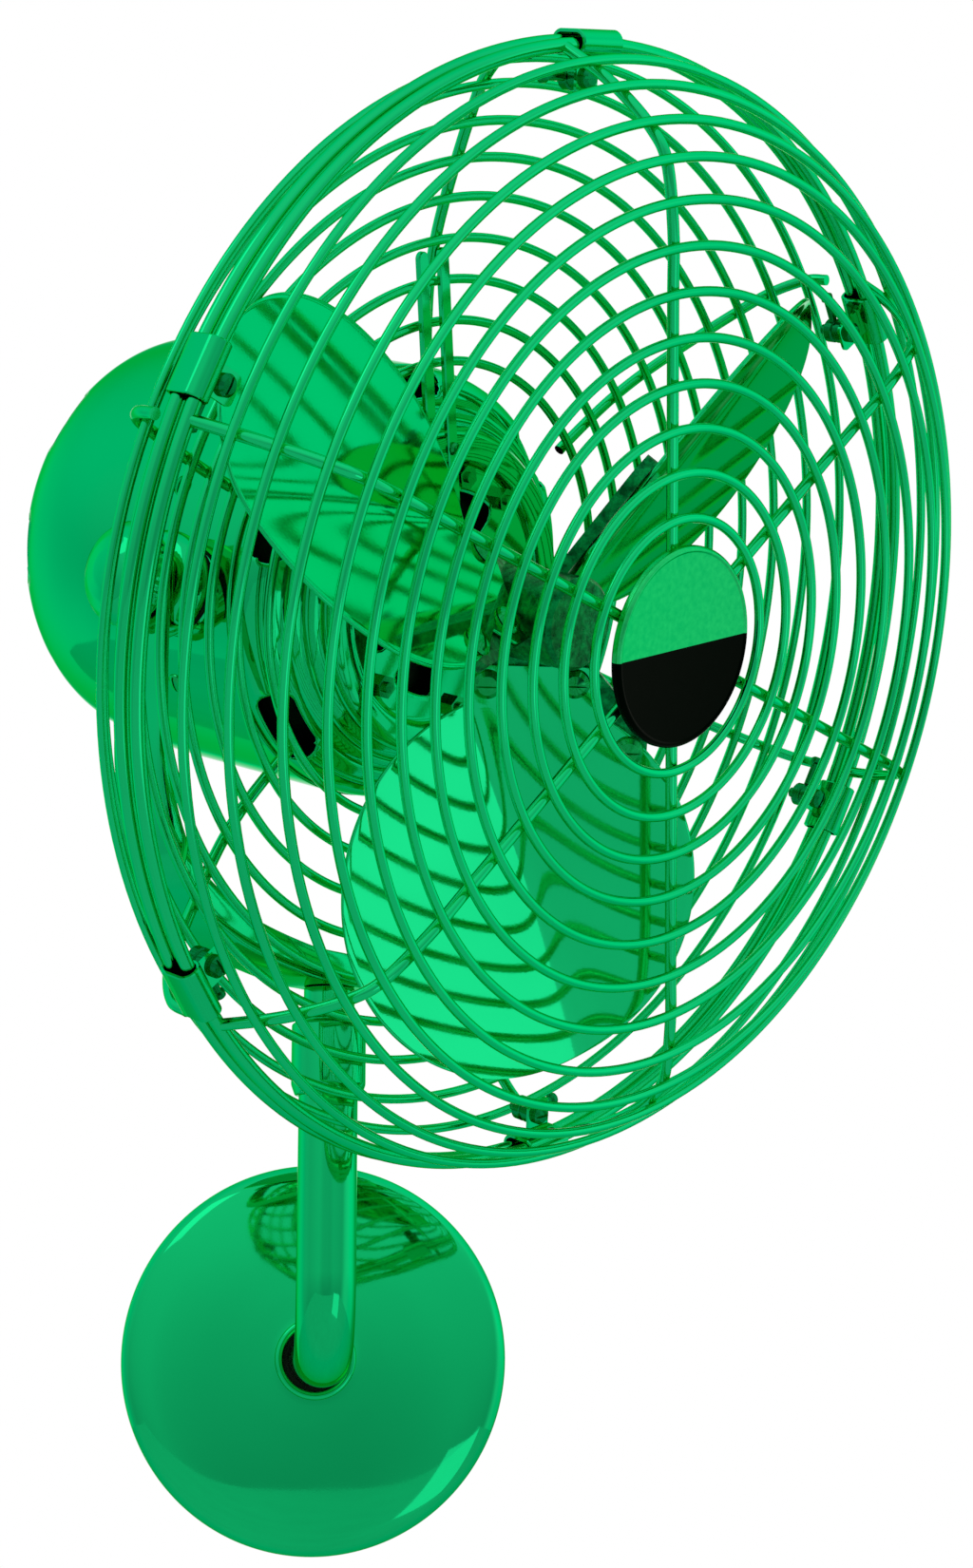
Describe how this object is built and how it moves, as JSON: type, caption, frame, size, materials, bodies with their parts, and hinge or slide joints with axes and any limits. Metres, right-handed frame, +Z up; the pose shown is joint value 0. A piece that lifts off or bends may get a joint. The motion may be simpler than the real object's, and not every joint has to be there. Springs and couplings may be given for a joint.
{
  "type": "wall fan",
  "caption": "Wall fan with a round canopy, elbow arm, swivelling yoke, drum motor on side knobs, three broad pitched blades and a round wire guard.",
  "frame": {"origin": "centre of the wall bracket's back face, on the wall", "axes": "+Z up, -Y out from the wall into the room, +X to the right of someone facing the fan"},
  "size_m": [0.3586, 0.3713, 0.5302],
  "materials": {
    "chrome_green": "polished, green tinted",
    "painted_steel": "satin black",
    "zinc_steel": "zinc plated",
    "rubber": "matt",
    "lamination": "laminated",
    "winding": "enamelled",
    "cast_chrome": "cast, green tinted",
    "dark_metal": "dark green metal",
    "plastic_case": "matt",
    "rotor_alloy": "cast"
  },
  "bodies": {
    "wall_mount": {"wall_bracket": "painted_steel", "canopy": "chrome_green", "arm_tube": "chrome_green", "swivel_collar": "chrome_green", "swivel_set_screw": "zinc_steel"},
    "yoke": {"swivel_stem": "chrome_green", "swivel_nut": "zinc_steel", "yoke": "chrome_green", "stem_bolt": "zinc_steel", "arm_washers": "chrome_green"},
    "head": {"pivot_bosses": "chrome_green", "rubber_washers": "rubber", "pivot_studs": "zinc_steel", "pivot_brackets": "painted_steel", "bracket_screws": "zinc_steel", "motor_shell": "chrome_green", "motor_front_cover": "chrome_green", "motor_bolts": "zinc_steel", "front_nuts": "zinc_steel", "rear_bearing_plate": "painted_steel", "stator_core": "lamination", "stator_windings": "winding", "front_bearing": "zinc_steel", "rear_bearing": "zinc_steel", "run_capacitor": "plastic_case", "front_guard": "chrome_green", "rear_guard": "chrome_green", "rim_clips": "chrome_green", "clip_screws": "dark_metal", "clip_nuts": "dark_metal", "clip_pins": "dark_metal", "guard_straps": "chrome_green", "strap_screws": "zinc_steel", "medallion": "chrome_green", "badge_back_plate": "zinc_steel", "badge_screw": "zinc_steel"},
    "rotor": {"shaft": "zinc_steel", "rotor_core": "rotor_alloy", "hub": "cast_chrome", "hub_set_screw": "zinc_steel", "blade_1": "chrome_green", "blade_2": "chrome_green", "blade_3": "chrome_green", "blade_screws": "zinc_steel"},
    "knob_left": {"tilt_knob_left": "chrome_green"},
    "knob_right": {"tilt_knob_right": "chrome_green"}
  },
  "joints": [
    {"name": "pan", "type": "hinge", "parent": "wall_mount", "child": "yoke", "pos_m": [0, -0.13, 0.1085], "axis": [0, 0, 1], "range_deg": [-105, 14]},
    {"name": "tilt", "type": "hinge", "parent": "yoke", "child": "head", "pos_m": [0, -0.13, 0.2719], "axis": [-0.6999, -0.7142, 0], "range_deg": [0, 29]},
    {"name": "fan_spin", "type": "hinge", "parent": "head", "child": "rotor", "pos_m": [0.00002, -0.13002, 0.29733], "axis": [0.6739, -0.6604, -0.3312], "continuous": true},
    {"name": "knob_left_turn", "type": "hinge", "parent": "head", "child": "knob_left", "pos_m": [-0.07699, -0.20857, 0.2719], "axis": [-0.6999, -0.7142, 0], "range_deg": [0, 270]},
    {"name": "knob_right_turn", "type": "hinge", "parent": "head", "child": "knob_right", "pos_m": [0.07699, -0.05144, 0.2719], "axis": [0.6999, 0.7142, 0], "range_deg": [0, 270]}
  ]
}
